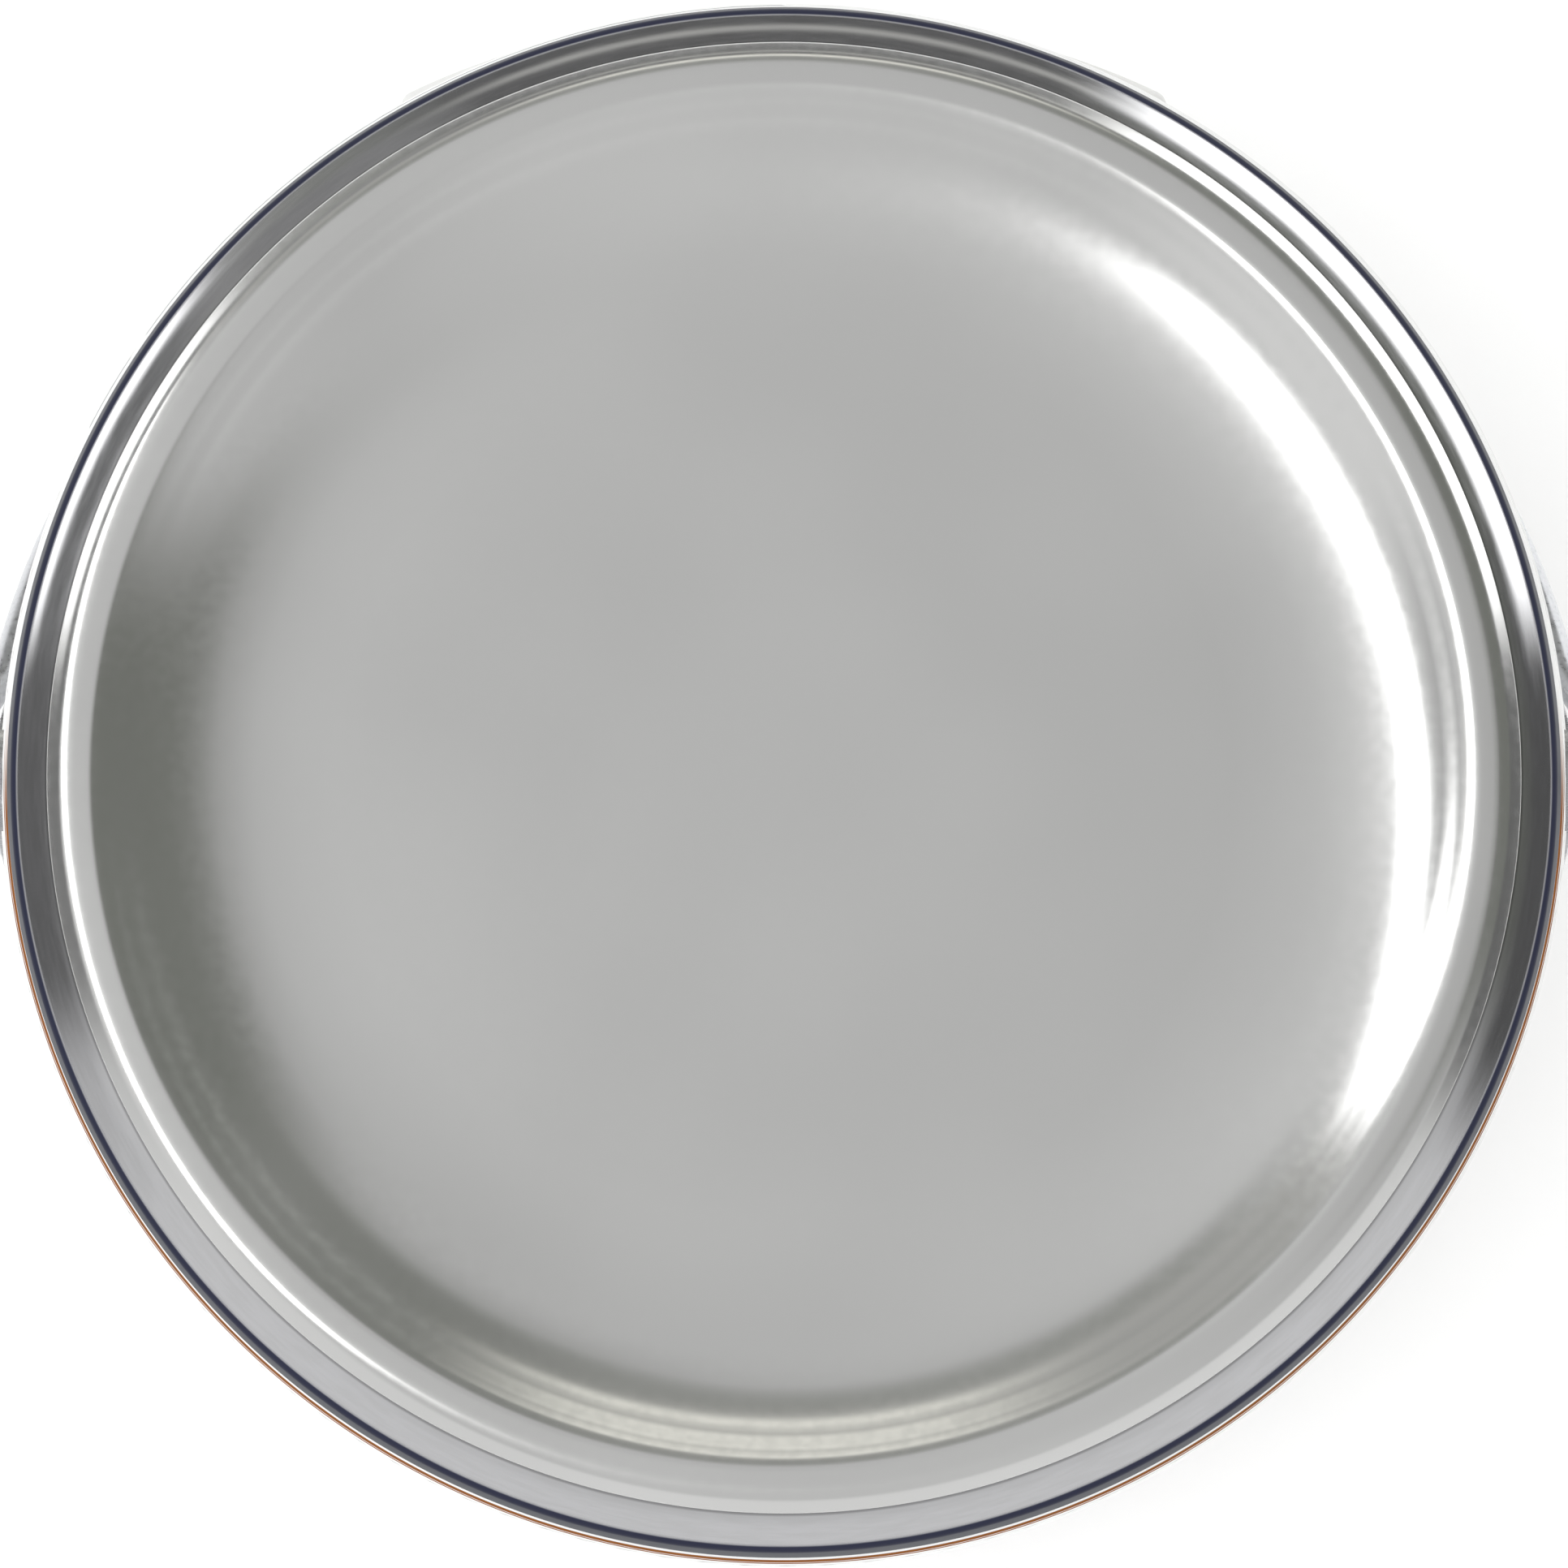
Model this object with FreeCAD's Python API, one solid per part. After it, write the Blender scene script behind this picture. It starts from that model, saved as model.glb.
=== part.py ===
"""Necked-in tinplate paint can of 2.5 litres with a friction lid and a wire bail.

Millimetres. +Z is up and the origin is the centre of the base circle, at floor level.
The ears are on the X axis. The bail hangs down at the back, which is +Y.
Sheet pieces are drawn as a centreline of radius and height in a half section,
rounded at its corners, given the sheet's thickness and turned about the can's axis.
"""
import FreeCAD, Part

import math
import os

# Overall sizes
OVERALL_HEIGHT = 163.0
BODY_RADIUS = 77.3
NECK_IN = 1.5

# Sheet thicknesses
BODY_SHEET = 0.28
END_SHEET = 0.30
RING_SHEET = 0.30
LID_SHEET = 0.30
EAR_SHEET = 0.60
LABEL_SHEET = 0.15

# Double seams
SEAM_HEIGHT = 3.0
SEAM_LAYER_GAP = 0.03
HOOK_END_GAP = 0.10
CHUCK_GAP = 0.02
BODY_EDGE_GAP = 0.25
SEAM_FOOT_RADIUS = 0.35

# Neck below the top seam
NECK_DROP = 0.6
NECK_FLARE_HEIGHT = 3.0

# Lever ring: a broad dome with a deep socket for the lid's plug
RING_WIDTH = 10.05
PLUG_CLEARANCE = 0.08
RING_INNER_ROUND = 1.9
RING_DOME_START = 2.3
RING_DOME_SHARE = 0.5
RING_DOME_FULLNESS = 0.92
RING_SHOULDER_SLOPE = 45.0
RING_SHOULDER_ROUND = 2.0
SOCKET_DEPTH = 11.0
SOCKET_HEM_WIDTH = 1.6
SOCKET_HEM_HEIGHT = 1.3
SOCKET_HEM_ROUND = 0.7

# Lid
LID_BRIM = 6.05
LID_RISE_OVER_RING = 1.6
LID_EDGE_ROUND = 1.65
LID_WALL_ROUND = 2.2
LID_LEDGE_DROP = 2.6
LID_LEDGE_WIDTH = 0.55
PLUG_DEPTH = 6.3
PLEAT_GAP = 0.10
DISH_STEEP_SLOPE = 33.0
DISH_EASY_SLOPE = 11.0
DISH_STEEP_ROUND = 19.0
DISH_EASY_ROUND = 50.0
DISH_RIM_RUN = 0.45

# Bottom end
PANEL_HEIGHT = 4.2
PANEL_CORNER_ROUND = 1.2
EXPANSION_STEP = 0.8
EXPANSION_INSETS = (10.0, 32.0)
EXPANSION_SLOPE_RUN = 2.0
EXPANSION_ROUND = 1.5

# Ears and bail
PIVOT_DROP = 22.0
EAR_FLANGE_RADIUS = 9.8
EAR_BOSS_RADIUS = 6.4
EAR_BOSS_TAPER = 0.7
EAR_BOSS_HEIGHT = 2.2
EAR_BOSS_ROUND = 0.8
WIRE_RADIUS = 1.5
EAR_HOLE_CLEARANCE = 0.10
WIRE_HEAD_RADIUS = 2.6
WIRE_HEAD_THICKNESS = 1.0
WIRE_HEAD_GAP = 0.30
WIRE_BEND_RADIUS = 2.2
WIRE_BEND_GAP = 0.20
GRIP_END_ROUND = 1.0
BAIL_DROP = 27.55
BAIL_SIDE_GAP = 0.8
BAIL_TOP_INSET = 12.9
BAIL_RISE_PAST_BOSS = 1.0
BAIL_RISE_ROUND = 7.0
BAIL_LEAD_HEIGHT = 20.0
BAIL_LEAD_LENGTH = 5.5
BAIL_LEAD_ROUND = 9.0
GRIP_RADIUS = 5.2
GRIP_BORE_CLEARANCE = 0.15
GRIP_LENGTH = 83.0
GRIP_BODY_GAP = 0.9

# Label and inner lacquer stripe
LABEL_BOTTOM = 5.0
LABEL_TOP_GAP = 0.4
LABEL_EAR_GAP = 1.0
LABEL_JOINT_WIDTH = 0.4
STRIPE_WIDTH = 12.0
STRIPE_THICKNESS = 0.08
STRIPE_END_GAP = 6.0

# Heights and radii that follow from the sizes above
TOP_SEAM_RADIUS = BODY_RADIUS - NECK_IN
PLUG_RADIUS = TOP_SEAM_RADIUS - RING_WIDTH
LID_RADIUS = PLUG_RADIUS + LID_BRIM
BAIL_REACH = BODY_RADIUS + BAIL_DROP
LID_LAND_Z = OVERALL_HEIGHT - LID_SHEET / 2
RING_CREST_Z = LID_LAND_Z - LID_RISE_OVER_RING
RING_WALL_RADIUS = TOP_SEAM_RADIUS - RING_SHEET / 2
RING_SOCKET_RADIUS = PLUG_RADIUS + PLUG_CLEARANCE + RING_SHEET / 2
DOME_CORNER_RUN = (RING_WALL_RADIUS - RING_SOCKET_RADIUS - RING_DOME_START) * RING_DOME_SHARE
PIVOT_Z = OVERALL_HEIGHT - PIVOT_DROP
LABEL_RADIUS = BODY_RADIUS + LABEL_SHEET
Z_AXIS = FreeCAD.Vector(0, 0, 1)
X_AXIS = FreeCAD.Vector(1, 0, 0)
ORIGIN = FreeCAD.Vector(0, 0, 0)


def half_section(radius, height):
    """Point of the half section that lies in the XZ plane."""
    return FreeCAD.Vector(radius, 0, height)


def rounded_path(points):
    """Tangent lines and arcs along points of (radius, height, corner radius)."""
    pieces = []
    start = half_section(*points[0][:2])
    for before, here, after in zip(points, points[1:], points[2:]):
        corner = half_section(*here[:2])
        way_in = (corner - half_section(*before[:2])).normalize()
        way_out = (half_section(*after[:2]) - corner).normalize()
        turn = math.acos(max(-1.0, min(1.0, way_in.dot(way_out))))
        setback = here[2] * math.tan(turn / 2)
        arc_start = corner - way_in * setback
        arc_end = corner + way_out * setback
        to_centre = (way_out - way_in).normalize()
        centre = corner + to_centre * (here[2] / math.cos(turn / 2))
        pieces.append(("line", start, arc_start))
        pieces.append(("arc", arc_start, arc_end, centre))
        start = arc_end
    pieces.append(("line", start, half_section(*points[-1][:2])))
    return [piece for piece in pieces if (piece[2] - piece[1]).Length > 1e-6]


def side_of(vector):
    """Vector turned a quarter turn in the XZ plane."""
    return FreeCAD.Vector(-vector.z, 0, vector.x)


def offset_piece(piece, distance):
    """A line or arc of the path moved sideways by a signed distance."""
    kind, start, end = piece[:3]
    if kind == "line":
        shift = side_of((end - start).normalize()) * distance
        return (start + shift, None, end + shift)
    centre = piece[3]
    middle = ((start + end) * 0.5 - centre).normalize()
    chord_side = side_of((end - start).normalize())
    outward = 1.0 if chord_side.dot(middle) > 0 else -1.0
    radius = (start - centre).Length + outward * distance
    ends = [centre + (point - centre).normalize() * radius for point in (start, end)]
    return (ends[0], centre + middle * radius, ends[1])


def edge_of(side):
    """Edge through the two or three points of an offset piece."""
    start, middle, end = side
    if middle is None:
        return Part.makeLine(start, end)
    return Part.Arc(start, middle, end).toShape()


def sheet_face(points, thickness):
    """Half section of a sheet that follows a rounded centreline."""
    path = rounded_path(points)
    left = [offset_piece(piece, thickness / 2) for piece in path]
    right = [offset_piece(piece, -thickness / 2) for piece in path]
    edges = [edge_of(side) for side in left]
    edges.append(Part.makeLine(left[-1][2], right[-1][2]))
    edges.extend(edge_of(side) for side in reversed(right))
    if (left[0][0] - right[0][0]).Length > 1e-6:
        edges.append(Part.makeLine(right[0][0], left[0][0]))
    return Part.Face(Part.Wire(Part.__sortEdges__(edges)))


def turned(face):
    """Solid made by turning a half section about the can's axis."""
    return face.revolve(ORIGIN, Z_AXIS, 360)


def slab_face(r_low, r_high, z_low, z_high):
    """Rectangular half section."""
    corners = [(r_low, z_low), (r_high, z_low), (r_high, z_high), (r_low, z_high), (r_low, z_low)]
    return Part.Face(Part.makePolygon([half_section(r, z) for r, z in corners]))


def box_between(low, high):
    """Box from its lowest to its highest corner."""
    size = [high[i] - low[i] for i in range(3)]
    return Part.makeBox(*size, FreeCAD.Vector(*low))


def top_seam():
    """Radii and heights of the top double seam, from the ring's wall inwards."""
    body_hook = RING_WALL_RADIUS - RING_SHEET / 2 - SEAM_LAYER_GAP - BODY_SHEET / 2
    ring_hook = body_hook - BODY_SHEET / 2 - SEAM_LAYER_GAP - RING_SHEET / 2
    neck = ring_hook - RING_SHEET / 2 - SEAM_LAYER_GAP - BODY_SHEET / 2
    shoulder_z = RING_CREST_Z - DOME_CORNER_RUN * math.tan(math.radians(RING_SHOULDER_SLOPE))
    return {
        "body_hook": body_hook,
        "ring_hook": ring_hook,
        "neck": neck,
        "ring_turn": (RING_WALL_RADIUS - ring_hook) / 2,
        "body_turn": (body_hook - neck) / 2,
        "shoulder_z": shoulder_z,
        "body_z": shoulder_z - BODY_SHEET - RING_SHEET,
        "bottom_z": shoulder_z - SEAM_HEIGHT,
    }


def bottom_seam():
    """Radii and heights of the bottom double seam, from the body wall outwards."""
    body = BODY_RADIUS - BODY_SHEET / 2
    end_hook = BODY_RADIUS + SEAM_LAYER_GAP + END_SHEET / 2
    body_hook = end_hook + END_SHEET / 2 + SEAM_LAYER_GAP + BODY_SHEET / 2
    end_wall = body_hook + BODY_SHEET / 2 + SEAM_LAYER_GAP + END_SHEET / 2
    return {
        "body": body,
        "chuck": body - BODY_SHEET / 2 - CHUCK_GAP - END_SHEET / 2,
        "end_hook": end_hook,
        "body_hook": body_hook,
        "end_wall": end_wall,
        "body_turn": (body_hook - body) / 2,
        "end_turn": (end_wall - end_hook) / 2,
        "body_z": END_SHEET + BODY_EDGE_GAP + BODY_SHEET / 2,
        "top_z": SEAM_HEIGHT,
    }


def body_face():
    """Body wall with a neck at the top and a seaming hook at each end."""
    top = top_seam()
    low = bottom_seam()
    neck_z = top["bottom_z"] - NECK_DROP
    points = [
        (top["body_hook"], top["bottom_z"] + top["ring_turn"] + HOOK_END_GAP, 0),
        (top["body_hook"], top["body_z"], top["body_turn"]),
        (top["neck"], top["body_z"], top["body_turn"]),
        (top["neck"], neck_z, 1.2),
        (low["body"], neck_z - NECK_FLARE_HEIGHT, 1.2),
        (low["body"], low["body_z"], low["body_turn"]),
        (low["body_hook"], low["body_z"], low["body_turn"]),
        (low["body_hook"], low["top_z"] - low["end_turn"] - HOOK_END_GAP, 0),
    ]
    return sheet_face(points, BODY_SHEET)


def ring_face():
    """Lever ring: hemmed socket wall, dome, shoulder and seaming hook."""
    top = top_seam()
    wall = RING_WALL_RADIUS
    socket = RING_SOCKET_RADIUS
    bottom_z = RING_CREST_Z - SOCKET_DEPTH
    half_turn = math.radians(RING_SHOULDER_SLOPE) / 2
    dome_round = RING_DOME_FULLNESS * DOME_CORNER_RUN / math.tan(half_turn)
    points = [
        (socket + SOCKET_HEM_WIDTH, bottom_z + SOCKET_HEM_HEIGHT, 0),
        (socket + SOCKET_HEM_WIDTH, bottom_z, SOCKET_HEM_ROUND),
        (socket, bottom_z, SOCKET_HEM_ROUND),
        (socket, RING_CREST_Z, RING_INNER_ROUND),
        (wall - DOME_CORNER_RUN, RING_CREST_Z, dome_round),
        (wall, top["shoulder_z"], RING_SHOULDER_ROUND),
        (wall, top["bottom_z"], top["ring_turn"]),
        (top["ring_hook"], top["bottom_z"], top["ring_turn"]),
        (top["ring_hook"], top["body_z"] - top["body_turn"] - HOOK_END_GAP, 0),
    ]
    return sheet_face(points, RING_SHEET)


def bottom_end_face():
    """Bottom end: stepped panel, countersink wall and seaming hook."""
    low = bottom_seam()
    points = [(0, PANEL_HEIGHT - EXPANSION_STEP * len(EXPANSION_INSETS), 0)]
    for step, inset in reversed(list(enumerate(EXPANSION_INSETS))):
        radius = low["chuck"] - inset
        inner_z = PANEL_HEIGHT - EXPANSION_STEP * (step + 1)
        points.append((radius - EXPANSION_SLOPE_RUN, inner_z, EXPANSION_ROUND))
        points.append((radius, inner_z + EXPANSION_STEP, EXPANSION_ROUND))
    points += [
        (low["chuck"], PANEL_HEIGHT, PANEL_CORNER_ROUND),
        (low["chuck"], END_SHEET / 2, SEAM_FOOT_RADIUS),
        (low["end_wall"], END_SHEET / 2, SEAM_FOOT_RADIUS),
        (low["end_wall"], low["top_z"], low["end_turn"]),
        (low["end_hook"], low["top_z"], low["end_turn"]),
        (low["end_hook"], low["body_z"] + low["body_turn"] + HOOK_END_GAP, 0),
    ]
    return sheet_face(points, END_SHEET)


def lid_face():
    """Lid: rolled-down edge, flat land, folded plug and dished centre panel."""
    edge = LID_RADIUS - LID_SHEET / 2
    plug = PLUG_RADIUS - LID_SHEET / 2
    pleat_turn = (LID_SHEET + PLEAT_GAP) / 2
    inner = plug - 2 * pleat_turn
    ledge_z = LID_LAND_Z - LID_LEDGE_DROP
    plug_z = ledge_z - PLUG_DEPTH
    steep = math.radians(DISH_STEEP_SLOPE)
    easy = math.radians(DISH_EASY_SLOPE)
    steep_run = DISH_STEEP_ROUND * math.tan((steep - easy) / 2)
    easy_run = DISH_EASY_ROUND * math.tan(easy / 2)
    rim = inner - LID_LEDGE_WIDTH
    first = DISH_RIM_RUN + steep_run
    second = steep_run + easy_run
    wall_foot = (rim - first * math.cos(steep), ledge_z - first * math.sin(steep))
    floor = (wall_foot[0] - second * math.cos(easy), wall_foot[1] - second * math.sin(easy))
    points = [
        (edge, LID_LAND_Z - LID_EDGE_ROUND - 0.02, 0),
        (edge, LID_LAND_Z, LID_EDGE_ROUND),
        (plug, LID_LAND_Z, LID_WALL_ROUND),
        (plug, plug_z, pleat_turn),
        (inner, plug_z, pleat_turn),
        (inner, ledge_z, 0.2),
        (rim, ledge_z, 0.8),
        (wall_foot[0], wall_foot[1], DISH_STEEP_ROUND),
        (floor[0], floor[1], DISH_EASY_ROUND),
        (0, floor[1], 0),
    ]
    return sheet_face(points, LID_SHEET)


def seam_compound(window, *sheets):
    """Sealing compound: what a window of the half section leaves between sheets."""
    left = window
    for sheet in sheets:
        left = left.cut(sheet)
    face = max(left.Faces, key=lambda part: part.Area)
    return turned(face)


def top_compound(ring, body):
    """Compound between the body's upper edge and the ring's shoulder."""
    top = top_seam()
    low_z = top["body_z"] - top["body_turn"]
    high_z = top["shoulder_z"] + BODY_SHEET / 2
    window = slab_face(top["neck"], top["body_hook"], low_z, high_z)
    return seam_compound(window, ring, body)


def bottom_compound(end, body):
    """Compound between the body's lower edge and the bottom end's channel."""
    low = bottom_seam()
    window = slab_face(low["body"], low["body_hook"], END_SHEET / 2, low["body_z"])
    return seam_compound(window, end, body)


def inner_stripe():
    """Lacquer stripe over the side weld, inside the body at the back."""
    top = top_seam()
    low_z = PANEL_HEIGHT + STRIPE_END_GAP
    high_z = top["bottom_z"] - NECK_DROP - NECK_FLARE_HEIGHT - STRIPE_END_GAP
    outer = BODY_RADIUS - BODY_SHEET
    ring = turned(slab_face(outer - STRIPE_THICKNESS, outer, low_z, high_z))
    half = STRIPE_WIDTH / 2
    return ring.common(box_between((-half, 0, low_z), (half, BODY_RADIUS, high_z)))


def along_x(shape):
    """Shape turned about +Z laid along +X, at the height of the bail's pivot."""
    shape.rotate(ORIGIN, FreeCAD.Vector(0, 1, 0), 90)
    shape.translate(FreeCAD.Vector(0, 0, PIVOT_Z))
    return shape


def rod_x(radius, start, end):
    """Round rod on the pivot axis between two distances from the can's axis."""
    return along_x(Part.makeCylinder(radius, end - start, half_section(0, start)))


def ear():
    """Right ear: a flange that lies on the body and a hollow boss with the wire's hole."""
    reach = BODY_RADIUS + EAR_BOSS_HEIGHT + EAR_SHEET * 2
    shell = turned(slab_face(BODY_RADIUS, BODY_RADIUS + EAR_SHEET, 0, OVERALL_HEIGHT))
    flange = shell.common(rod_x(EAR_FLANGE_RADIUS, 0, reach))
    flange = flange.cut(rod_x(EAR_BOSS_RADIUS, 0, reach))
    boss_face = BODY_RADIUS + EAR_BOSS_HEIGHT
    inner_end = BODY_RADIUS - EAR_BOSS_HEIGHT
    points = [
        (EAR_BOSS_RADIUS + EAR_BOSS_TAPER, inner_end, 0),
        (EAR_BOSS_RADIUS, boss_face, EAR_BOSS_ROUND),
        (WIRE_RADIUS + EAR_HOLE_CLEARANCE, boss_face, 0),
    ]
    boss = along_x(turned(sheet_face(points, EAR_SHEET)))
    boss = boss.cut(Part.makeCylinder(BODY_RADIUS, OVERALL_HEIGHT))
    return flange.fuse(boss).removeSplitter()


def boss_outer_face():
    """Distance of the boss's outer face from the can's axis."""
    return BODY_RADIUS + EAR_BOSS_HEIGHT + EAR_SHEET / 2


def bail_corner():
    """Distance from the can's axis at which the wire's end turns up outside the ear."""
    return boss_outer_face() + WIRE_BEND_GAP + WIRE_BEND_RADIUS


def bail_half_width():
    """Half width of the hoop's oval, which runs close to the label."""
    return LABEL_RADIUS + BAIL_SIDE_GAP + WIRE_RADIUS


def bail_top_radius():
    """Radius of the hoop's top arc, which the grip follows."""
    return bail_half_width() - BAIL_TOP_INSET


def bail_hang_angle():
    """Degrees below level at which the grip stops beside the body."""
    grip_y = LABEL_RADIUS + GRIP_BODY_GAP + GRIP_RADIUS
    return math.degrees(math.acos(grip_y / BAIL_REACH))


def bail_placed(shape):
    """Shape drawn upright in the XZ plane with the pivot on X, hung at the back."""
    shape.rotate(ORIGIN, X_AXIS, -90 - bail_hang_angle())
    shape.translate(FreeCAD.Vector(0, 0, PIVOT_Z))
    return shape


def mirrored(point, side):
    """Point of the hoop's plane on the right side (1) or the left side (-1)."""
    return FreeCAD.Vector(side * point.x, 0, point.z)


def on_circle(centre, radius, angle):
    """Point of a circle in the XZ plane, at an angle in radians from +X."""
    return centre + half_section(radius * math.cos(angle), radius * math.sin(angle))


def hoop_edges():
    """Centreline of the bail: turned-in ends that lean in to a three-arc oval."""
    half = bail_half_width()
    top = bail_top_radius()
    rise = BAIL_REACH - top
    side_radius = (half ** 2 + rise ** 2 - top ** 2) / (2 * (half - top))
    side_centre = half_section(half - side_radius, 0)
    top_centre = half_section(0, rise)
    lead = math.asin(BAIL_LEAD_HEIGHT / side_radius)
    join = math.atan2(rise, side_radius - half)
    lead_end = on_circle(side_centre, side_radius, lead)
    lead_start = lead_end - half_section(-math.sin(lead), math.cos(lead)) * BAIL_LEAD_LENGTH
    wire_end = boss_outer_face() - EAR_SHEET - WIRE_HEAD_GAP - WIRE_HEAD_THICKNESS
    end_path = rounded_path([
        (wire_end, 0, 0),
        (bail_corner(), 0, WIRE_BEND_RADIUS),
        (bail_corner(), EAR_BOSS_RADIUS + BAIL_RISE_PAST_BOSS, BAIL_RISE_ROUND),
        (lead_start.x, lead_start.z, BAIL_LEAD_ROUND),
        (lead_end.x, lead_end.z, 0),
    ])
    edges = []
    for side in (1, -1):
        for piece in end_path:
            points = offset_piece(piece, 0)
            edges.append(edge_of([point and mirrored(point, side) for point in points]))
        arc = [on_circle(side_centre, side_radius, angle) for angle in (lead, (lead + join) / 2, join)]
        edges.append(edge_of([mirrored(point, side) for point in arc]))
    turns = (join, math.pi / 2, math.pi - join)
    edges.append(edge_of([on_circle(top_centre, top, angle) for angle in turns]))
    return Part.__sortEdges__(edges)


def bail_wire():
    """Round wire hoop with an upset head inside each ear."""
    path = Part.Wire(hoop_edges())
    start = path.OrderedVertexes[0].Point
    ring = Part.Wire(Part.makeCircle(WIRE_RADIUS, start, X_AXIS))
    wire = path.makePipeShell([ring], True, True)
    share = wire.Volume / (math.pi * WIRE_RADIUS ** 2 * path.Length)
    print("bail wire volume over section times length:", round(share, 4))
    wire = bail_placed(wire)
    head_end = boss_outer_face() - EAR_SHEET - WIRE_HEAD_GAP
    head = rod_x(WIRE_HEAD_RADIUS, head_end - WIRE_HEAD_THICKNESS, head_end)
    other = head.mirror(ORIGIN, X_AXIS)
    return wire.fuse([head, other]).removeSplitter()


def bail_grip():
    """Moulded sleeve round the middle of the hoop."""
    radius = bail_top_radius()
    arc = GRIP_LENGTH / radius
    centre = half_section(0, BAIL_REACH - radius)
    start = on_circle(centre, radius, (math.pi - arc) / 2)
    along = side_of((start - centre).normalize())
    outer = Part.Face(Part.Wire(Part.makeCircle(GRIP_RADIUS, start, along)))
    bore = Part.Face(Part.Wire(Part.makeCircle(WIRE_RADIUS + GRIP_BORE_CLEARANCE, start, along)))
    turn_axis = FreeCAD.Vector(0, -1, 0)
    sleeve = outer.revolve(centre, turn_axis, math.degrees(arc))
    rim = 2 * math.pi * GRIP_RADIUS
    ends = [edge for edge in sleeve.Edges if abs(edge.Length - rim) < 0.01]
    sleeve = sleeve.makeFillet(GRIP_END_ROUND, ends)
    hole = bore.revolve(centre, turn_axis, math.degrees(arc))
    return bail_placed(sleeve.cut(hole))


def label_wrap():
    """Paper label round the body, with openings for the ears and a joint at the back."""
    neck_z = top_seam()["bottom_z"] - NECK_DROP - NECK_FLARE_HEIGHT
    wrap = turned(slab_face(BODY_RADIUS, LABEL_RADIUS, LABEL_BOTTOM, neck_z - LABEL_TOP_GAP))
    opening = EAR_FLANGE_RADIUS + LABEL_EAR_GAP
    wrap = wrap.cut(rod_x(opening, -OVERALL_HEIGHT, OVERALL_HEIGHT))
    half = LABEL_JOINT_WIDTH / 2
    joint = box_between((-half, 0, 0), (half, OVERALL_HEIGHT, OVERALL_HEIGHT))
    return wrap.cut(joint)


def build():
    """All pieces of the can by name."""
    body = body_face()
    ring = ring_face()
    end = bottom_end_face()
    right_ear = ear()
    return {
        "body_shell": turned(body),
        "bottom_end": turned(end),
        "lever_ring": turned(ring),
        "lid": turned(lid_face()),
        "top_seam_compound": top_compound(ring, body),
        "bottom_seam_compound": bottom_compound(end, body),
        "inner_weld_stripe": inner_stripe(),
        "ear_right": right_ear,
        "ear_left": right_ear.mirror(ORIGIN, X_AXIS),
        "bail_wire": bail_wire(),
        "bail_grip": bail_grip(),
        "label_wrap": label_wrap(),
    }


def main():
    os.makedirs("parts", exist_ok=True)
    for name, shape in build().items():
        solid = shape.Solids[0] if len(shape.Solids) == 1 else shape
        solid.exportStep(os.path.join("parts", name + ".step"))
        box = solid.BoundBox
        print(name, len(shape.Solids), solid.isValid(), round(solid.Volume, 1),
              [round(v, 2) for v in (box.XMin, box.YMin, box.ZMin, box.XMax, box.YMax, box.ZMax)])
    print("bail hangs", round(bail_hang_angle(), 3), "degrees below level, pivot height", PIVOT_Z)


main()
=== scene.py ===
"""Looks of the closed paint can: lathed sheet metal, printed wrap, wire bail and studio light."""
import math

import bmesh
import bpy
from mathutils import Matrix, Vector


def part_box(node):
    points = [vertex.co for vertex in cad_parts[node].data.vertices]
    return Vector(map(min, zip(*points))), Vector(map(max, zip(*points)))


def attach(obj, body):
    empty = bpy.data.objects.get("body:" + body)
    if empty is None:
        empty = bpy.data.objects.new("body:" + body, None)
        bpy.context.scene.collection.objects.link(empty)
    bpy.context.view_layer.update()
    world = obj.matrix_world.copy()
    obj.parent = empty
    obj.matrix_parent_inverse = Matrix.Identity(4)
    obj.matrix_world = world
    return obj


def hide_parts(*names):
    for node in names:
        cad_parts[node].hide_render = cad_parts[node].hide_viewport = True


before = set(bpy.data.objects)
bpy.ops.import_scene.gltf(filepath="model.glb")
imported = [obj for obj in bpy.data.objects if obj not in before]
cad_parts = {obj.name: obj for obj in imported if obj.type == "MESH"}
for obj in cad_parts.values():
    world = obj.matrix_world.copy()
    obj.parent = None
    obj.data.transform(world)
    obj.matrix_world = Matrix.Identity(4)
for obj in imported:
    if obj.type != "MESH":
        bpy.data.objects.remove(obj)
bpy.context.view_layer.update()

MM = 0.001

# Steps round the can, step along an arc, and the radius in millimetres that counts as the axis
TURNS = 384
ARC_STEP = math.radians(6)
AXIS_LIMIT = 1e-4

# Angles in degrees above which the edges of lathed pieces and of CAD pieces stay sharp
PRESSED_EDGE = 50
PLAIN_EDGE = 30

# Sizes read from the frame, in millimetres
LID_LOW, LID_HIGH = [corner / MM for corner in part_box("lid")]
RING_LOW, RING_HIGH = [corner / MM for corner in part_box("lever_ring")]
LABEL_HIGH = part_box("label_wrap")[1] / MM
LID_RADIUS = LID_HIGH.x
LID_TOP = LID_HIGH.z
RING_RADIUS = RING_HIGH.x
RING_TOP = RING_HIGH.z
LABEL_RADIUS = LABEL_HIGH.x

# Profile sizes that the frame's boxes don't give, in millimetres
SHEET = 0.30
PLUG_RADIUS = 65.72
LID_LAND_Z = LID_TOP - 0.02
RING_SOCKET_RADIUS = 65.98
RING_CREST_Z = RING_TOP - SHEET / 2
SHOULDER_Z = RING_TOP - 3.84
SEAM_FOOT_Z = SHOULDER_Z - 2.7
SEAM_FOOT_RADIUS = RING_RADIUS + 0.46
SEAM_HOOK_RADIUS = RING_RADIUS - 0.79

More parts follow.
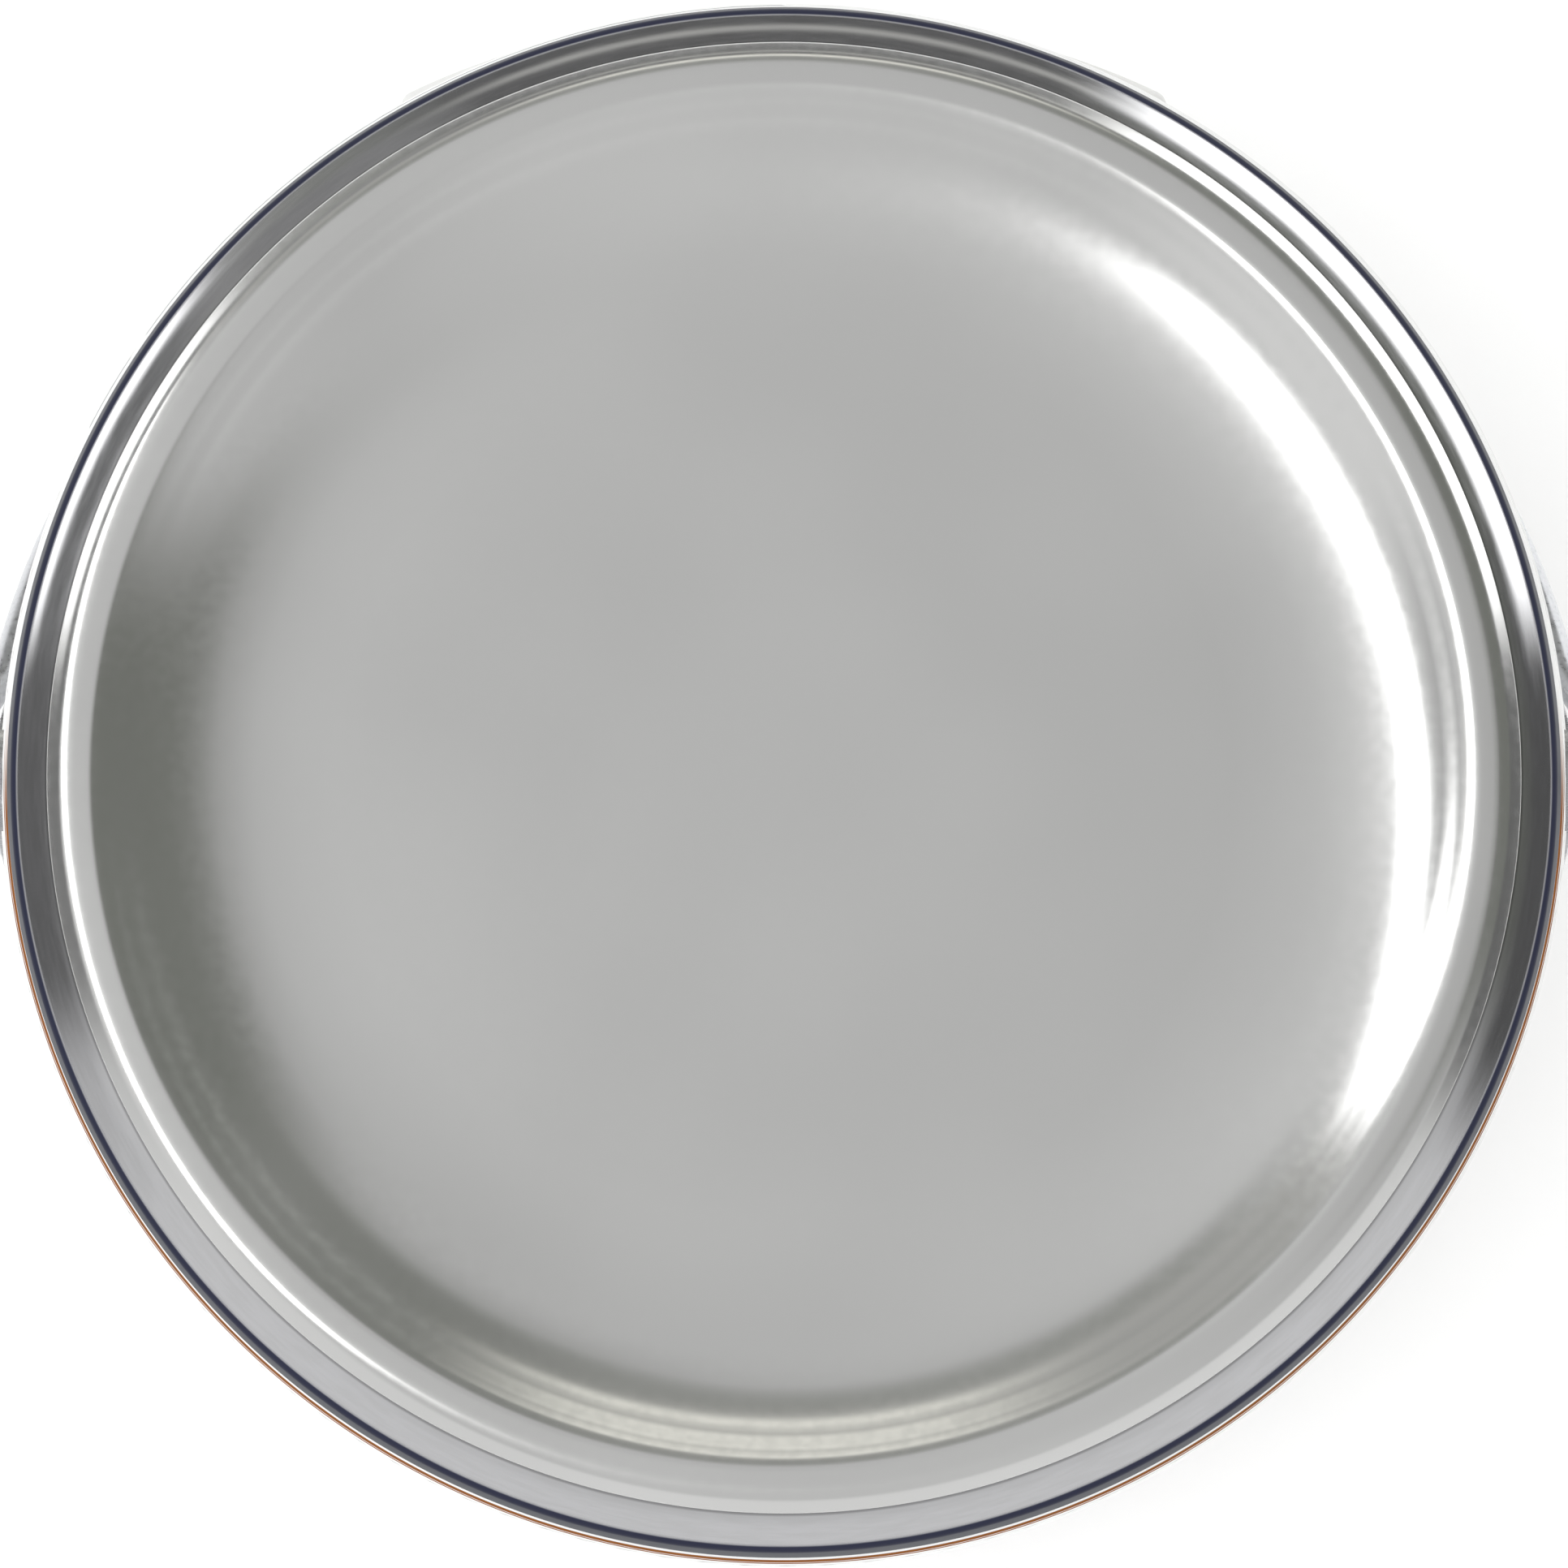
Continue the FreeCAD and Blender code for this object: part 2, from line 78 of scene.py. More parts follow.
# Slope of the lid in degrees, rising outwards, at radii in millimetres from the centre
# of its dished panel, over its land, to the foot of its rolled edge
LID_SLOPES = (
    (0.0, 0.0), (44.0, 0.3), (47.6, 1.5), (51.7, 4.0), (55.6, 8.0), (59.5, 14.5), (62.4, 26.0), (63.6, 32.0),
    (64.2, 33.0), (64.8, 30.0), (65.3, 29.5), (65.8, 32.5), (66.3, 31.0), (67.15, 18.0), (67.7, 2.0),
    (67.9, 0.3), (68.95, -0.6), (69.4, -4.0), (69.8, -12.0), (70.23, -22.0), (70.55, -30.0), (70.9, -36.5),
    (71.25, -39.5), (71.74, -41.0),
)

# Radius where the lid's face starts to be drawn in fine steps, and the step
FACE_START = 40.0
FACE_STEP = 0.12

# Printed lines and panel: heights and radii in millimetres, angles in radians
COPPER_WIDE_RADII = (LABEL_RADIUS - 0.80, LABEL_RADIUS - 0.54)
COPPER_THIN_RADII = (LABEL_RADIUS - 0.50, LABEL_RADIUS - 0.40)
GREY_RADII = (LABEL_RADIUS - 0.31, LABEL_RADIUS - 0.20)
COPPER_LOW_Z = (LABEL_HIGH.z - 1.15, LABEL_HIGH.z - 0.85)
COPPER_HIGH_Z = (LABEL_HIGH.z - 0.60, LABEL_HIGH.z - 0.38)
GREY_Z = (LABEL_HIGH.z - 0.35, LABEL_HIGH.z - 0.10)
FOOT_LINE_Z = (9.0, 10.2)
GREY_TURNS = (math.radians(90), math.radians(145))
GREY_DASH_TURNS = (math.radians(147), math.radians(153))
PANEL_Z = (38.0, 96.0)
PANEL_HALF_TURN = 0.460
FRAME_INNER_Z = (36.6, 97.4)
FRAME_INNER_HALF_TURN = 0.480
FRAME_OUTER_Z = (35.5, 98.5)
FRAME_OUTER_HALF_TURN = 0.494
LINE_END_SOFT = 0.004
PANEL_SIDE_SOFT = 0.002
PANEL_EDGE_SOFT = 0.15


# ---------------------------------------------------------------- profiles
def rounded(points):
    """Polyline along (radius, height, corner radius) points with arcs at its corners."""
    out = []
    count = len(points)
    for index, (r, z, corner_radius) in enumerate(points):
        here = Vector((r, z))
        if corner_radius <= 0 or index in (0, count - 1):
            out.append(here)
            continue
        before = Vector(points[index - 1][:2])
        after = Vector(points[index + 1][:2])
        way_in = (here - before).normalized()
        way_out = (after - here).normalized()
        turn = way_in.angle(way_out)
        setback = corner_radius * math.tan(turn / 2)
        centre = here + (way_out - way_in).normalized() * (corner_radius / math.cos(turn / 2))
        start = here - way_in * setback - centre
        side = 1 if way_in.x * way_out.y - way_in.y * way_out.x > 0 else -1
        steps = max(2, math.ceil(turn / ARC_STEP))
        for step in range(steps + 1):
            angle = side * turn * step / steps
            cos, sin = math.cos(angle), math.sin(angle)
            out.append(centre + Vector((start.x * cos - start.y * sin, start.x * sin + start.y * cos)))
    return out


def beside(points, distance):
    """Points moved sideways, to the left of the way they run, by a distance."""
    out = []
    for index, point in enumerate(points):
        before = points[max(index - 1, 0)]
        after = points[min(index + 1, len(points) - 1)]
        way = (after - before).normalized()
        out.append(point + Vector((-way.y, way.x)) * distance)
    return out


def sheet_outline(centreline, thickness):
    """Closed outline of a sheet that follows a centreline of points."""
    return beside(centreline, thickness / 2) + beside(centreline, -thickness / 2)[::-1]


def spaced(start, end, step):
    """Evenly spaced values from start to end, both included."""
    count = max(1, math.ceil(abs(end - start) / step))
    return [start + (end - start) * index / count for index in range(count + 1)]


# ---------------------------------------------------------------- meshes
def new_object(name, mesh):
    """Object in the scene for a mesh."""
    obj = bpy.data.objects.new(name, mesh)
    bpy.context.scene.collection.objects.link(obj)
    return obj


def lathe(name, outline):
    """Closed surface made by turning an outline of (radius, height) about the can's axis."""
    mesh = bpy.data.meshes.new(name)
    work = bmesh.new()
    rings = []
    for r, z in outline:
        if r < AXIS_LIMIT:
            rings.append([work.verts.new((0, 0, z * MM))])
            continue
        ring = []
        for turn in range(TURNS):
            angle = 2 * math.pi * turn / TURNS
            ring.append(work.verts.new((r * MM * math.cos(angle), r * MM * math.sin(angle), z * MM)))
        rings.append(ring)
    open_ends = len(rings[0]) == 1
    pairs = zip(rings, rings[1:] + ([] if open_ends else rings[:1]))
    for low, high in pairs:
        for turn in range(TURNS):
            other = (turn + 1) % TURNS
            if len(low) == 1 and len(high) == 1:
                break
            if len(low) == 1:
                work.faces.new((low[0], high[other], high[turn]))
            elif len(high) == 1:
                work.faces.new((low[turn], low[other], high[0]))
            else:
                work.faces.new((low[turn], low[other], high[other], high[turn]))
    bmesh.ops.recalc_face_normals(work, faces=work.faces)
    work.to_mesh(mesh)
    work.free()
    return shade(new_object(name, mesh), PRESSED_EDGE)


def shade(obj, sharp):
    """Smooth shading that keeps edges sharper than the given angle in degrees."""
    mesh = obj.data
    mesh.polygons.foreach_set("use_smooth", [True] * len(mesh.polygons))
    mesh.set_sharp_from_angle(angle=math.radians(sharp))
    return obj


# ---------------------------------------------------------------- material helpers
class Nodes:
    """Short calls for building a node tree."""

    def __init__(self, tree):
        self.tree = tree
        self.tree.nodes.clear()

    def add(self, kind, **settings):
        """New node with its settings."""
        node = self.tree.nodes.new(kind)
        for key, value in settings.items():
            setattr(node, key, value)
        return node

    def link(self, output, socket):
        """Link from an output to an input."""
        self.tree.links.new(output, socket)

    def feed(self, node, index, value):
        """Give an input a link or a fixed value."""
        if hasattr(value, "is_linked"):
            self.link(value, node.inputs[index])
        else:
            node.inputs[index].default_value = value

    def math(self, operation, a, b=0.0, clamp=False):
        """Result of a maths operation on one or two values."""
        node = self.add("ShaderNodeMath", operation=operation, use_clamp=clamp)
        self.feed(node, 0, a)
        self.feed(node, 1, b)
        return node.outputs[0]

    def ramp(self, value, low, high, to_low=0.0, to_high=1.0):
        """Value carried smoothly from one range to another and held at both ends."""
        node = self.add("ShaderNodeMapRange", interpolation_type="SMOOTHSTEP")
        for index, entry in enumerate((value, low, high, to_low, to_high)):
            self.feed(node, index, entry)
        return node.outputs[0]

    def band(self, value, low, high, soft):
        """One between low and high, fading to zero over soft on each side."""
        rise = self.ramp(value, low - soft, low + soft)
        fall = self.ramp(value, high - soft, high + soft, 1.0, 0.0)
        return self.math("MULTIPLY", rise, fall)

    def mix(self, factor, a, b):
        """Colour between a and b."""
        node = self.add("ShaderNodeMix", data_type="RGBA")
        self.feed(node, 0, factor)
        for index, colour in ((6, a), (7, b)):
            value = colour if hasattr(colour, "is_linked") else (*colour, 1.0)
            self.feed(node, index, value)
        return node.outputs[2]

    def noise(self, vector, scale, detail=3.0, stretch=(1, 1, 1)):
        """Noise at a point, with its scale stretched along the axes."""
        mapping = self.add("ShaderNodeMapping")
        mapping.inputs["Scale"].default_value = stretch
        self.link(vector, mapping.inputs["Vector"])
        node = self.add("ShaderNodeTexNoise")
        node.inputs["Scale"].default_value = scale
        node.inputs["Detail"].default_value = detail
        self.link(mapping.outputs[0], node.inputs["Vector"])
        return node.outputs["Fac"]

    def bump(self, height, strength, distance):
        """Normal that a height would give."""
        node = self.add("ShaderNodeBump")
        node.inputs["Strength"].default_value = strength
        node.inputs["Distance"].default_value = distance
        self.link(height, node.inputs["Height"])
        return node.outputs[0]


def material(name, **sockets):
    """Material with one principled shader and its fixed socket values."""
    made = bpy.data.materials.new(name)
    made.use_nodes = True
    nodes = Nodes(made.node_tree)
    shader = nodes.add("ShaderNodeBsdfPrincipled")
    output = nodes.add("ShaderNodeOutputMaterial")
    nodes.link(shader.outputs[0], output.inputs[0])
    for key, value in sockets.items():
        shader.inputs[key.replace("_", " ")].default_value = value
    return made, nodes, shader


def place(nodes):
    """Point in millimetres, with its height, and its radius and turn about the can's axis."""
    coords = nodes.add("ShaderNodeTexCoord").outputs["Object"]
    scaled = nodes.add("ShaderNodeVectorMath", operation="SCALE")
    nodes.link(coords, scaled.inputs[0])
    scaled.inputs["Scale"].default_value = 1 / MM
    split = nodes.add("ShaderNodeSeparateXYZ")
    nodes.link(scaled.outputs[0], split.inputs[0])
    x, y, z = split.outputs
    square = nodes.math("ADD", nodes.math("MULTIPLY", x, x), nodes.math("MULTIPLY", y, y))
    radius = nodes.math("SQRT", square)
    turn = nodes.math("ARCTAN2", y, x)
    return {"point": scaled.outputs[0], "z": z, "radius": radius, "turn": turn}


def front_half(nodes, at):
    """One on the front half of the can, fading out where the ears are."""
    return nodes.ramp(nodes.math("SINE", at["turn"]), 0.12, -0.06)


def back_left(nodes, at):
    """One along the long stroke and the short dash of the grey line at the back left."""
    stroke = nodes.band(at["turn"], *GREY_TURNS, LINE_END_SOFT)
    dash = nodes.band(at["turn"], *GREY_DASH_TURNS, LINE_END_SOFT)
    return nodes.math("MAXIMUM", stroke, dash)


def window(nodes, at, heights, half_turn):
    """One inside a rectangle of the wrap, centred on the front."""
    away = nodes.math("ABSOLUTE", nodes.math("ADD", at["turn"], math.pi / 2))
    inside = nodes.ramp(away, half_turn + PANEL_SIDE_SOFT, half_turn - PANEL_SIDE_SOFT)
    return nodes.math("MULTIPLY", nodes.band(at["z"], *heights, PANEL_EDGE_SOFT), inside)


# ---------------------------------------------------------------- materials
def lid_material():
    """Glossy grey metallic coating, rolled smooth, with a faint uneven flow."""
    made, nodes, shader = material(
        "lid_coating", Metallic=0.97, Coat_Weight=0.35, Coat_Roughness=0.03, IOR=1.5
    )
    at = place(nodes)
    cloud = nodes.noise(at["point"], 0.02, 2.0)
    fine = nodes.noise(at["point"], 0.9, 4.0)
    tone = nodes.ramp(cloud, 0.3, 0.7)
    nodes.link(nodes.mix(tone, (0.80, 0.80, 0.79), (0.86, 0.86, 0.85)), shader.inputs["Base Color"])
    rough = nodes.math("ADD", nodes.ramp(fine, 0.3, 0.7, 0.15, 0.19), nodes.ramp(cloud, 0.3, 0.7, 0.0, 0.02))
    nodes.link(rough, shader.inputs["Roughness"])
    flow = nodes.noise(at["point"], 0.12, 2.0)
    nodes.link(nodes.bump(flow, 0.05, 0.00004), shader.inputs["Normal"])
    return made


def ring_material():
    """Bright tinplate with fine marks round the ring, a painted shade line just outside the lid's edge, and
    navy on the seam's wall that is partly lacquer and partly painted dark reflection.
    """
    made, nodes, shader = material("ring_tinplate", Metallic=1.0, IOR=1.5)
    at = place(nodes)
    round_marks = nodes.noise(at["point"], 0.25, 5.0, (1, 1, 14))
    # Navy on the seam's outer wall is partly lacquer and partly painted reflection: a dark colour with
    # little specular where the pale floor would be reflected, darker at the upper edge and slate lower on
    # the wall.
    edge = nodes.ramp(at["z"], SHOULDER_Z + 0.9, SHOULDER_Z + 0.6)
    wall = nodes.ramp(at["z"], SHOULDER_Z - 0.15, SHOULDER_Z - 0.35)
    outside = nodes.ramp(at["radius"], RING_RADIUS - 1.2, RING_RADIUS - 1.0)
    lacquer_and_painted_reflection = nodes.math("MULTIPLY", edge, outside)
    bare = nodes.mix(nodes.ramp(round_marks, 0.3, 0.7), (0.70, 0.70, 0.71), (0.74, 0.74, 0.755))
    # Painted shade: a dark ring on the metal just outside the lid's edge, where the gap between lid and ring
    # lies in shadow.
    painted_gap_shade = nodes.band(at["radius"], LID_RADIUS - 0.6, LID_RADIUS + 0.28, 0.14)
    bare = nodes.mix(nodes.math("MULTIPLY", painted_gap_shade, 0.85), bare, (0.36, 0.36, 0.365))
    navy = nodes.mix(wall, (0.024, 0.026, 0.046), (0.036, 0.040, 0.052))
    nodes.link(nodes.mix(lacquer_and_painted_reflection, bare, navy), shader.inputs["Base Color"])
    rough = nodes.ramp(round_marks, 0.3, 0.7, 0.10, 0.13)
    lacquer_rough = nodes.math("ADD", rough, nodes.math("MULTIPLY", lacquer_and_painted_reflection, 0.25))
    nodes.link(lacquer_rough, shader.inputs["Roughness"])
    nodes.link(nodes.ramp(lacquer_and_painted_reflection, 0.0, 1.0, 1.0, 0.0), shader.inputs["Metallic"])
    nodes.link(nodes.ramp(lacquer_and_painted_reflection, 0.0, 1.0, 0.5, 0.05), shader.inputs["Specular IOR Level"])
    nodes.link(nodes.bump(round_marks, 0.015, 0.00003), shader.inputs["Normal"])
    return made


def neck_print(nodes, at, spots):
    """Mask and colour of the neck's print: white, copper lines in front, grey line at the back left."""
    neck = nodes.ramp(at["z"], LABEL_HIGH.z - 1.0, LABEL_HIGH.z - 0.9)
    white = nodes.mix(spots, (0.84, 0.84, 0.835), (0.88, 0.88, 0.875))
    wide = nodes.band(at["radius"], *COPPER_WIDE_RADII, 0.02)
    thin = nodes.band(at["radius"], *COPPER_THIN_RADII, 0.02)
    copper = nodes.math("MULTIPLY", nodes.math("MAXIMUM", wide, thin), front_half(nodes, at))
    lined = nodes.mix(copper, white, (0.25, 0.085, 0.018))
    grey = nodes.math("MULTIPLY", nodes.band(at["radius"], *GREY_RADII, 0.02), back_left(nodes, at))
    return neck, nodes.mix(grey, lined, (0.30, 0.31, 0.32))


def tinplate_material(name, printed):
    """Tinplate with rolling marks and dull spots; the printed one has a white neck with fine lines."""
    made, nodes, shader = material(name, Metallic=1.0)
    at = place(nodes)
    rolled = nodes.noise(at["point"], 0.18, 6.0, (1, 1, 9))
    dull = nodes.noise(at["point"], 0.05, 4.0)
    spots = nodes.ramp(dull, 0.35, 0.65)
    colour = nodes.mix(spots, (0.62, 0.63, 0.65), (0.74, 0.74, 0.75))
    marks = nodes.ramp(rolled, 0.3, 0.7, 0.18, 0.28)
    if printed:
        neck, print_colour = neck_print(nodes, at, spots)
        colour = nodes.mix(neck, colour, print_colour)
        nodes.link(nodes.math("SUBTRACT", 1.0, neck), shader.inputs["Metallic"])
        nodes.link(nodes.ramp(neck, 0.0, 1.0, 0.5, 0.1), shader.inputs["Specular IOR Level"])
    nodes.link(colour, shader.inputs["Base Color"])
    nodes.link(nodes.math("ADD", marks, nodes.ramp(dull, 0.4, 0.7, 0.0, 0.08)), shader.inputs["Roughness"])
    nodes.link(nodes.bump(rolled, 0.08, 0.00005), shader.inputs["Normal"])
    return made


def label_material():
    """Coated white wrap with copper and grey lines and a plain paint-coloured panel."""
    made, nodes, shader = material("label_print", Coat_Weight=0.4, Coat_Roughness=0.12, IOR=1.45)
    at = place(nodes)
    fibre = nodes.noise(at["point"], 1.6, 5.0, (1, 1, 2))
    cloud = nodes.noise(at["point"], 0.04, 3.0)
    white = nodes.mix(nodes.ramp(cloud, 0.3, 0.7), (0.78, 0.78, 0.775), (0.82, 0.82, 0.815))
    low = nodes.band(at["z"], *COPPER_LOW_Z, 0.04)
    high = nodes.band(at["z"], *COPPER_HIGH_Z, 0.04)
    copper = nodes.math("MULTIPLY", nodes.math("MAXIMUM", low, high), front_half(nodes, at))
    grey = nodes.math("MULTIPLY", nodes.band(at["z"], *GREY_Z, 0.03), back_left(nodes, at))
    frame_outer = window(nodes, at, FRAME_OUTER_Z, FRAME_OUTER_HALF_TURN)
    frame_inner = window(nodes, at, FRAME_INNER_Z, FRAME_INNER_HALF_TURN)
    border = nodes.math("SUBTRACT", frame_outer, frame_inner, clamp=True)
    foot = nodes.band(at["z"], *FOOT_LINE_Z, 0.08)
    copper_all = nodes.math("MAXIMUM", nodes.math("MAXIMUM", copper, border), foot)
    colour = nodes.mix(grey, white, (0.28, 0.29, 0.30))
    colour = nodes.mix(window(nodes, at, PANEL_Z, PANEL_HALF_TURN), colour, (0.41, 0.41, 0.40))
    colour = nodes.mix(copper_all, colour, (0.42, 0.16, 0.045))
    nodes.link(colour, shader.inputs["Base Color"])
    nodes.link(nodes.math("MULTIPLY", copper_all, 0.7), shader.inputs["Metallic"])
    nodes.link(nodes.ramp(fibre, 0.3, 0.7, 0.32, 0.42), shader.inputs["Roughness"])
    nodes.link(nodes.bump(fibre, 0.06, 0.00005), shader.inputs["Normal"])
    return made


def wire_material():
    """Galvanised wire: dull spangle, drawing lines and darker rubbed patches."""
    made, nodes, shader = material("bail_wire", Metallic=1.0)
    at = place(nodes)
    spangle = nodes.noise(at["point"], 1.6, 3.0)
    drawn = nodes.noise(at["point"], 2.2, 3.0)
    nodes.link(nodes.mix(nodes.ramp(spangle, 0.35, 0.65), (0.60, 0.61, 0.63), (0.68, 0.69, 0.71)),
               shader.inputs["Base Color"])
    nodes.link(nodes.ramp(spangle, 0.3, 0.7, 0.26, 0.42), shader.inputs["Roughness"])
    nodes.link(nodes.bump(drawn, 0.05, 0.00004), shader.inputs["Normal"])
    return made


def ear_material():
    """Pressed steel ear: satin, with faint scuffs."""
    made, nodes, shader = material("ear_steel", Metallic=1.0)
    at = place(nodes)
    grain = nodes.noise(at["point"], 0.5, 5.0, (1, 6, 1))
    rub = nodes.noise(at["point"], 0.15, 3.0)
    nodes.link(nodes.mix(nodes.ramp(rub, 0.4, 0.6), (0.56, 0.57, 0.59), (0.70, 0.70, 0.71)),
               shader.inputs["Base Color"])
    nodes.link(nodes.ramp(grain, 0.3, 0.7, 0.2, 0.34), shader.inputs["Roughness"])
    nodes.link(nodes.bump(grain, 0.1, 0.00005), shader.inputs["Normal"])
    return made


def grip_material():
    """Moulded pale grip with a fine moulded grain and handling marks."""
    made, nodes, shader = material("grip_plastic", IOR=1.5, Coat_Weight=0.1, Coat_Roughness=0.3)
    at = place(nodes)
    grain = nodes.noise(at["point"], 2.5, 3.0)
    marks = nodes.noise(at["point"], 0.1, 4.0)
    nodes.link(nodes.mix(nodes.ramp(marks, 0.4, 0.7), (0.74, 0.74, 0.73), (0.66, 0.66, 0.64)),
               shader.inputs["Base Color"])
    nodes.link(nodes.ramp(grain, 0.3, 0.7, 0.34, 0.5), shader.inputs["Roughness"])
    nodes.link(nodes.bump(grain, 0.2, 0.0001), shader.inputs["Normal"])
    return made


def compound_material():
    """Dark, slightly rubbery sealing compound."""
    made, nodes, shader = material("seam_compound", IOR=1.45)
    at = place(nodes)
    lumps = nodes.noise(at["point"], 0.8, 4.0)
    nodes.link(nodes.mix(lumps, (0.05, 0.05, 0.055), (0.09, 0.09, 0.10)), shader.inputs["Base Color"])
    nodes.link(nodes.ramp(lumps, 0.3, 0.7, 0.6, 0.8), shader.inputs["Roughness"])
    nodes.link(nodes.bump(lumps, 0.4, 0.0002), shader.inputs["Normal"])
    return made


def stripe_material():
    """Baked golden lacquer over the inner weld."""
    made, nodes, shader = material("stripe_lacquer", Coat_Weight=0.6, Coat_Roughness=0.1, IOR=1.5)
    at = place(nodes)
    runs = nodes.noise(at["point"], 0.12, 4.0, (6, 1, 1))
    nodes.link(nodes.mix(runs, (0.55, 0.38, 0.14), (0.68, 0.52, 0.26)), shader.inputs["Base Color"])
    nodes.link(nodes.ramp(runs, 0.3, 0.7, 0.2, 0.35), shader.inputs["Roughness"])
    return made


def floor_material():
    """Plain pale studio floor with a barely uneven surface."""
    made, nodes, shader = material("studio_floor")
    at = place(nodes)
    cloud = nodes.noise(at["point"], 0.01, 3.0)
    nodes.link(nodes.mix(cloud, (0.90, 0.90, 0.90), (0.93, 0.93, 0.93)), shader.inputs["Base Color"])
    nodes.link(nodes.ramp(cloud, 0.3, 0.7, 0.7, 0.8), shader.inputs["Roughness"])
    return made


# ---------------------------------------------------------------- pieces
def lid_slope(radius):
    """Slope as a ratio at a radius, between the listed slopes."""
    for (r_low, low), (r_high, high) in zip(LID_SLOPES, LID_SLOPES[1:]):
        if radius <= r_high:
            share = (radius - r_low) / (r_high - r_low)
            return math.tan(math.radians(low + (high - low) * share))
    return math.tan(math.radians(LID_SLOPES[-1][1]))


def lid_face():
    """Face of the lid from its centre to the foot of its rolled edge."""
    radii = [0.0] + spaced(FACE_START, LID_SLOPES[-1][0], FACE_STEP)
    heights = [0.0]
    for low, high in zip(radii, radii[1:]):
        heights.append(heights[-1] + lid_slope((low + high) / 2) * (high - low))
    lift = LID_LAND_Z - max(heights)
    return [Vector((r, z + lift)) for r, z in zip(radii, heights)]


def lid_outline():
    """Closed section of the lid: face, edge, underside with its plug, and back."""
    face = lid_face()
    brim = beside([point for point in face if point.x > PLUG_RADIUS + 1.6], -SHEET)
    foot = face[-1].y - 0.32
    plug = rounded([
        (brim[0].x, brim[0].y, 0),
        (PLUG_RADIUS, LID_LAND_Z - 1.2, 1.0),
        (PLUG_RADIUS, LID_LOW.z, 0.35),
        (PLUG_RADIUS - 0.7, LID_LOW.z, 0.33),
        (PLUG_RADIUS - 0.72, LID_LAND_Z - 3.6, 0.6),
    ])
    edge = rounded([
        (face[-1].x, face[-1].y, 0),
        (LID_RADIUS, face[-1].y - 0.06, 0.03),
        (LID_RADIUS, foot, 0.05),
        (LID_RADIUS - SHEET, foot, 0.05),
        (brim[-1].x, brim[-1].y, 0),
    ])
    under = [Vector((p.x, p.y - SHEET)) for p in face if p.x < PLUG_RADIUS - 1.6]
    return face[:-1] + edge + brim[-2:0:-1] + plug + under[::-1]


def make_lid():
    """Lid with its dished face, rolled edge and folded plug."""
    lid = lathe("lid_panel", lid_outline())
    lid.data.materials.append(lid_material())
    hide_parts("lid")
    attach(lid, "lid")


def make_ring():
    """Lever ring with a hemmed socket, a long dome and a slightly flared seam wall."""
    hem_radius = RING_SOCKET_RADIUS + 1.6
    hem_z = RING_LOW.z + SHEET / 2
    centre = rounded([
        (hem_radius, hem_z + 1.3, 0),
        (hem_radius, hem_z, 0.7),
        (RING_SOCKET_RADIUS, hem_z, 0.7),
        (RING_SOCKET_RADIUS, RING_CREST_Z, 1.9),
        (RING_RADIUS - 5.6, RING_CREST_Z, 6.6),
        (RING_RADIUS - 2.2, RING_CREST_Z - 2.0, 14.0),
        (RING_RADIUS - 0.25, SHOULDER_Z + 0.15, 1.0),
        (SEAM_FOOT_RADIUS, SEAM_FOOT_Z, 0.3),
        (SEAM_HOOK_RADIUS, SEAM_FOOT_Z, 0.3),
        (SEAM_HOOK_RADIUS, SHOULDER_Z - 1.1, 0),
    ])
    ring = lathe("lever_ring_panel", sheet_outline(centre, SHEET))
    ring.data.materials.append(ring_material())
    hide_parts("lever_ring")
    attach(ring, "can")


def finish_nodes():
    """The finishes of the pieces whose CAD shape is kept."""
    ear = ear_material()
    compound = compound_material()
    finishes = {
        "label_wrap": label_material(),
        "body_shell": tinplate_material("body_print", True),
        "bottom_end": tinplate_material("tinplate", False),
        "ear_right": ear,
        "ear_left": ear,
        "top_seam_compound": compound,
        "bottom_seam_compound": compound,
        "inner_weld_stripe": stripe_material(),
        "bail_wire": wire_material(),
        "bail_grip": grip_material(),
    }
    for name, finish in finishes.items():
        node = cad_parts[name]
        node.data.materials.clear()
        node.data.materials.append(finish)
        shade(node, PLAIN_EDGE)


# ---------------------------------------------------------------- studio
# Floor, lamp and camera distances in metres, power in watts, sensor in millimetres, and the
# half width of the camera's frame as a share of the ring's radius
FLOOR_HALF = 3.0
FILL_WIDTH = 2.4
FILL_HEIGHT = 1.8
FILL_POWER = 36
CAMERA_DISTANCE = 0.75
CAMERA_ELEVATION = math.radians(86.3)
CAMERA_TARGET = Vector((0, -0.0008, SHOULDER_Z * MM))
FRAME_OVER_RING = 1.01258
SENSOR_WIDTH = 36


def make_floor():
    """Plain floor that the can stands on."""
    mesh = bpy.data.meshes.new("floor")
    corners = [(x * FLOOR_HALF, y * FLOOR_HALF, 0) for x, y in ((-1, -1), (1, -1), (1, 1), (-1, 1))]
    mesh.from_pydata(corners, [], [(0, 1, 2, 3)])
    floor = new_object("floor", mesh)
    floor.data.materials.append(floor_material())


